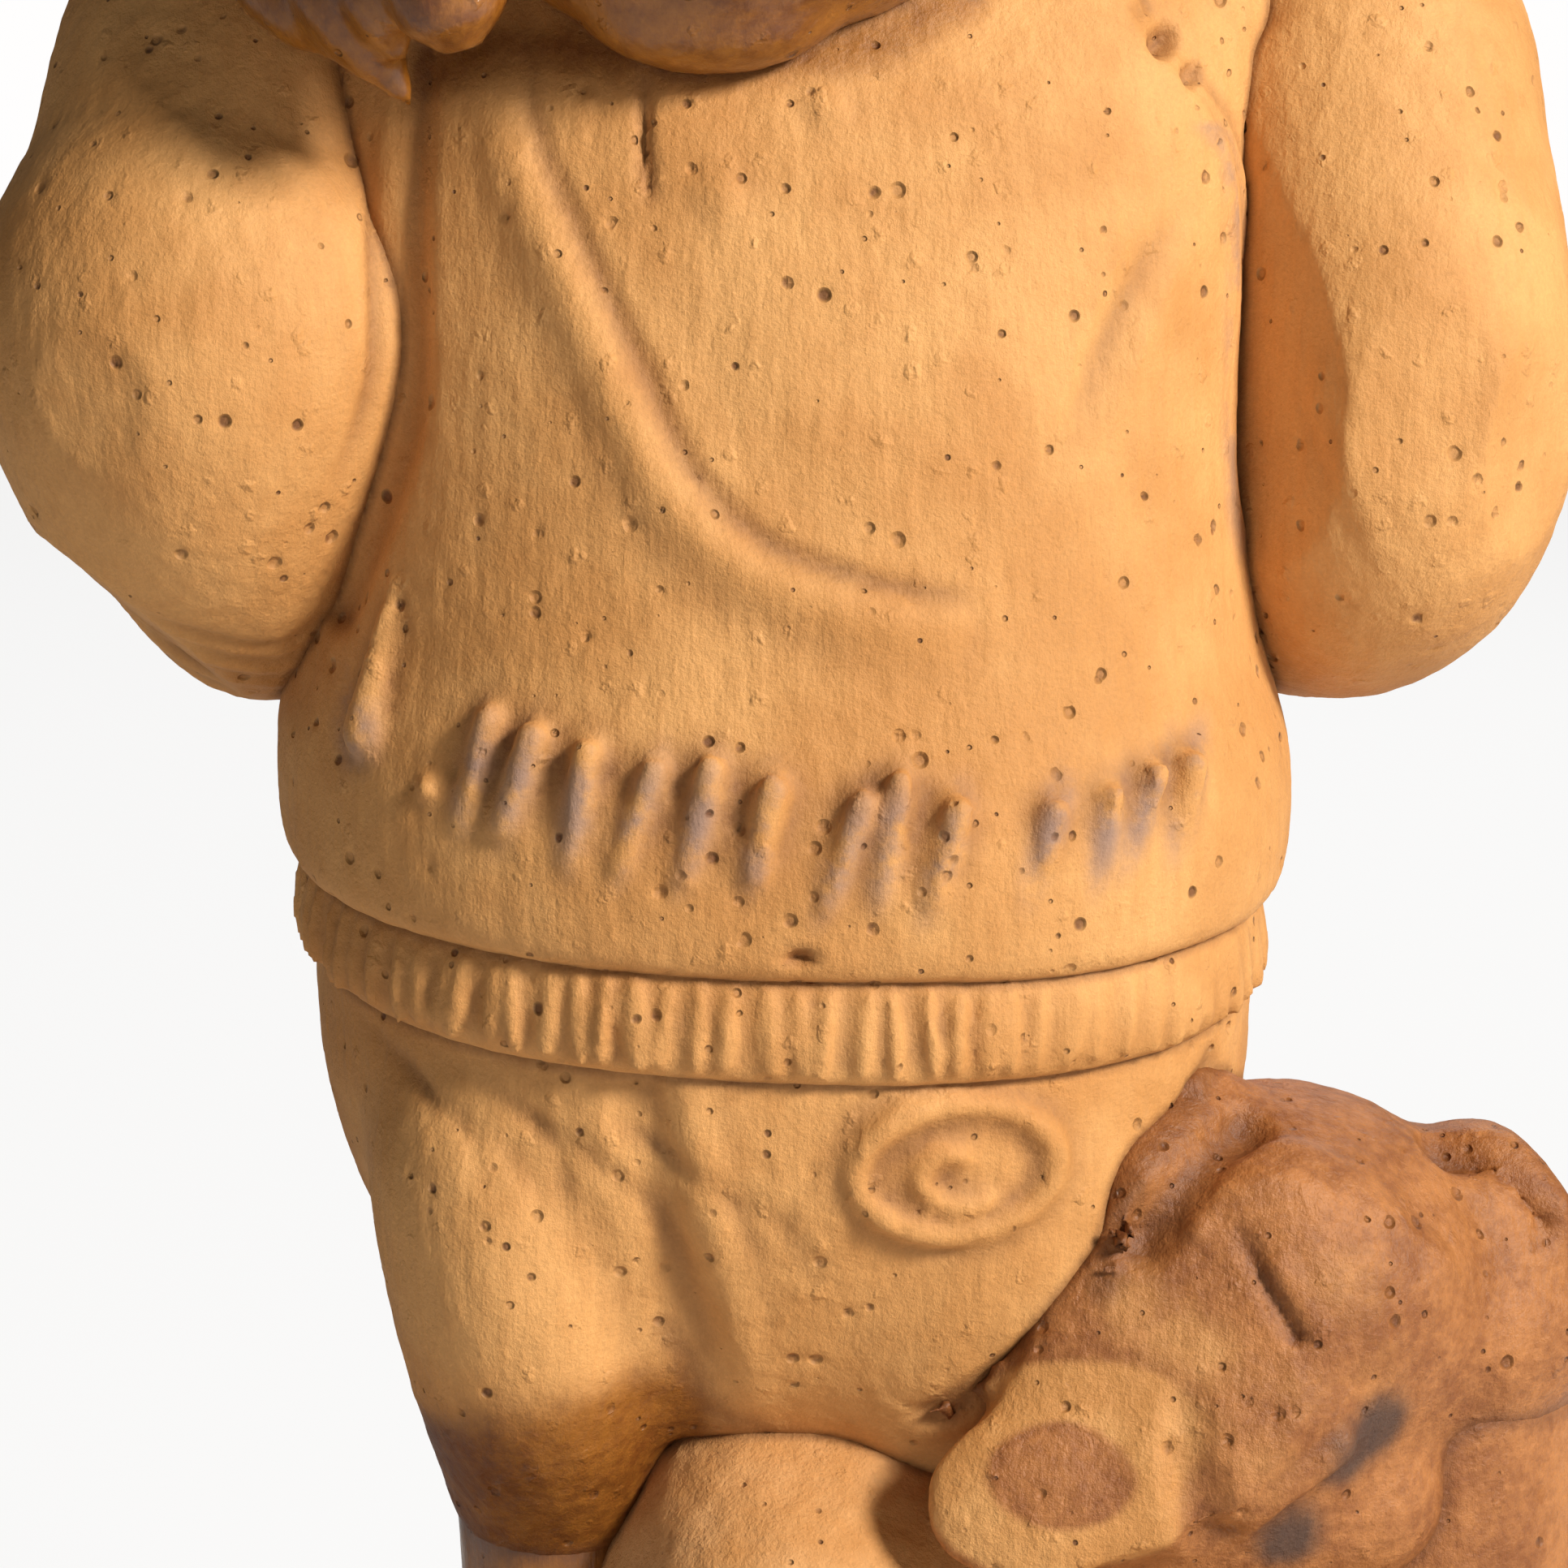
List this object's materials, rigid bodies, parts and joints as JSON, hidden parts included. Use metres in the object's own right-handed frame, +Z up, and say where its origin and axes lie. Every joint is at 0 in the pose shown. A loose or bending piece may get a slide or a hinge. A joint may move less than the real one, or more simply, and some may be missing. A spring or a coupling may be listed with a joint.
{
  "type": "ceramic figure group",
  "caption": "Hand-modelled ceramic group: a child in a loose pullover and knee breeches astride a boulder, with a large dog resting its head on the thigh.",
  "frame": {"origin": "bottom centre of the base, on the surface that it stands on", "axes": "+Z up; the figure faces -Y; +X towards the figure's left hand and the dog"},
  "size_m": [0.206, 0.138, 0.3354],
  "materials": {
    "buff_clay": "matte, unglazed, with finger marks, pinholes and brown stain in the creases",
    "brown_stained_clay": "brown oxide wash, darker in the hollows, satin to glossy on the head and hair"
  },
  "bodies": {
    "root": {"figure_group": "buff_clay"}
  },
  "joints": []
}
